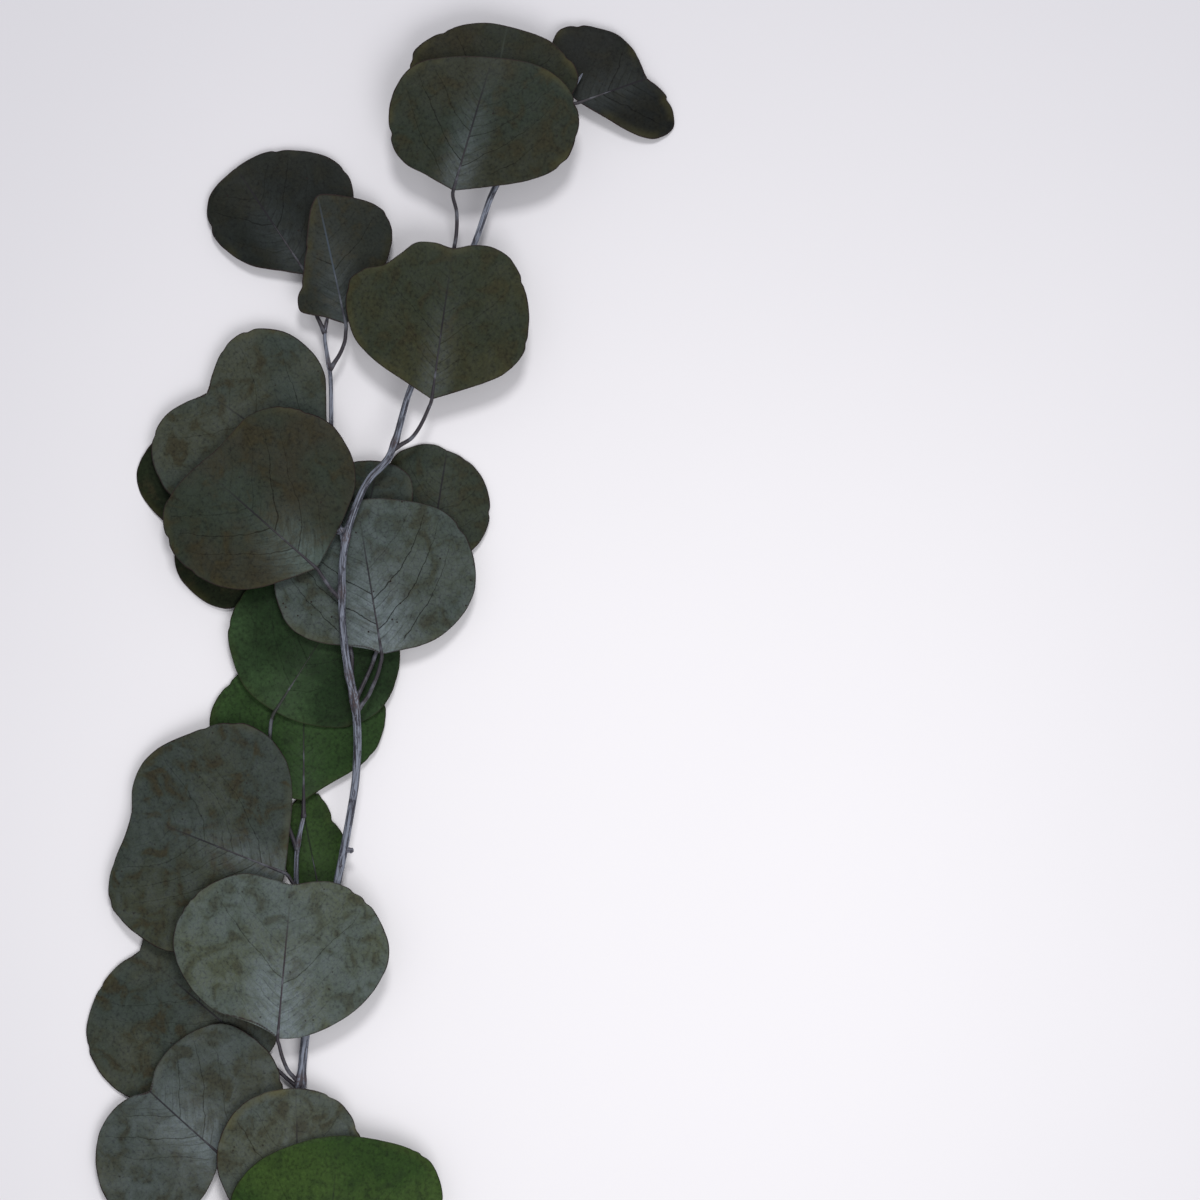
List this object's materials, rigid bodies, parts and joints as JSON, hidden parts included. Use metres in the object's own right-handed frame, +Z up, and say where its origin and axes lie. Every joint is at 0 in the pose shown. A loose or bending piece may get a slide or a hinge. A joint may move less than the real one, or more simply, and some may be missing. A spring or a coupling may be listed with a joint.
{
  "type": "eucalyptus branch",
  "caption": "Cut eucalyptus stem with two side twigs and broad, round, notched grey-green leaves on thin stalks, lying flat.",
  "frame": {"origin": "under the middle of the branch's bounding box, on the surface that it lies on", "axes": "+Y along the stem from its cut end to its growing end, +X to the right seen from above, +Z up"},
  "size_m": [0.1642, 0.3662, 0.0131],
  "materials": {
    "stem_bark": "dry matt bark, grey-lavender with paler streaks",
    "leaf_grey_green": "satin, leathery, with a grey waxy bloom by the midrib and olive-brown blotches",
    "leaf_bright": "satin, leathery, fresher green with little bloom"
  },
  "bodies": {
    "root": {"main_stem": "stem_bark", "upper_twig": "stem_bark", "lower_twig": "stem_bark", "bud_upper": "stem_bark", "bud_lower": "stem_bark", "leaf_green_middle": "leaf_bright", "leaf_left_rear": "leaf_grey_green", "leaf_right_upper": "leaf_grey_green", "leaf_bottom_left_rear": "leaf_grey_green", "leaf_green_small": "leaf_bright", "leaf_green_upper": "leaf_bright", "leaf_inner_rear": "leaf_grey_green", "leaf_right_wide": "leaf_grey_green", "leaf_left_notched": "leaf_grey_green", "leaf_lower_left_large": "leaf_grey_green", "leaf_bottom_left_front": "leaf_grey_green", "leaf_left_front": "leaf_grey_green", "leaf_lower_front": "leaf_grey_green", "leaf_bottom_centre": "leaf_grey_green", "leaf_bottom_green": "leaf_bright", "leaf_tip": "leaf_grey_green", "leaf_upper_left": "leaf_grey_green", "leaf_upper_left_folded": "leaf_grey_green", "leaf_crown_back": "leaf_grey_green", "leaf_shoulder": "leaf_grey_green", "leaf_crown_front": "leaf_grey_green"}
  },
  "joints": []
}
